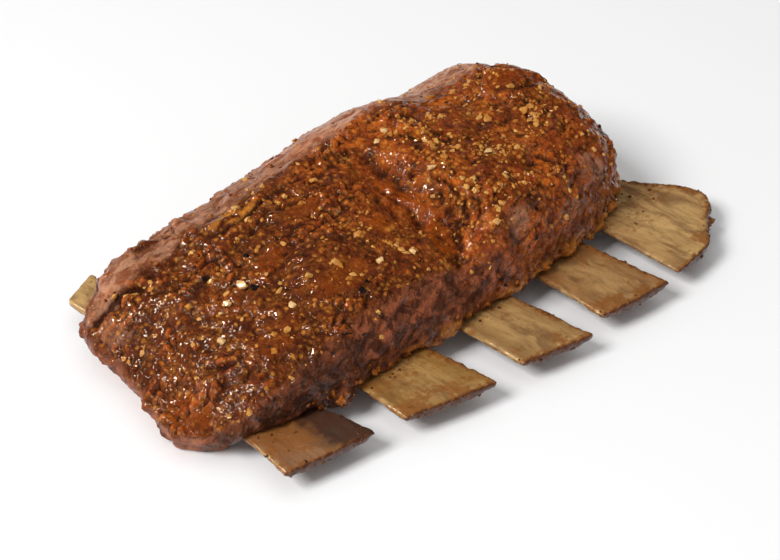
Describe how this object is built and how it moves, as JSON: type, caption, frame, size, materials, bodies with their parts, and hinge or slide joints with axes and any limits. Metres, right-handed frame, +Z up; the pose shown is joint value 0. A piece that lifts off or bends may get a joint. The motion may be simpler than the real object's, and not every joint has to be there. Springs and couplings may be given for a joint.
{
  "type": "rack of ribs",
  "caption": "Roasted rack of beef ribs: a thick glazed slab of meat with a garlic crust, lying on flat rib bones whose bare ends stick out at one side.",
  "frame": {"origin": "middle of the underside of the whole rack's box", "axes": "+X along the rack, across the bones; +Y away from the bare bone ends; +Z up, out of the meat side"},
  "size_m": [0.3008, 0.1976, 0.0684],
  "materials": {
    "meat": "roast meat crust, glazed and glossy, with browned garlic",
    "bone": "roasted bare bone, satin, stained brown along its edges"
  },
  "bodies": {
    "root": {"meat": "meat", "bone_1": "bone", "bone_2": "bone", "bone_3": "bone", "bone_4": "bone", "bone_5": "bone"}
  },
  "joints": []
}
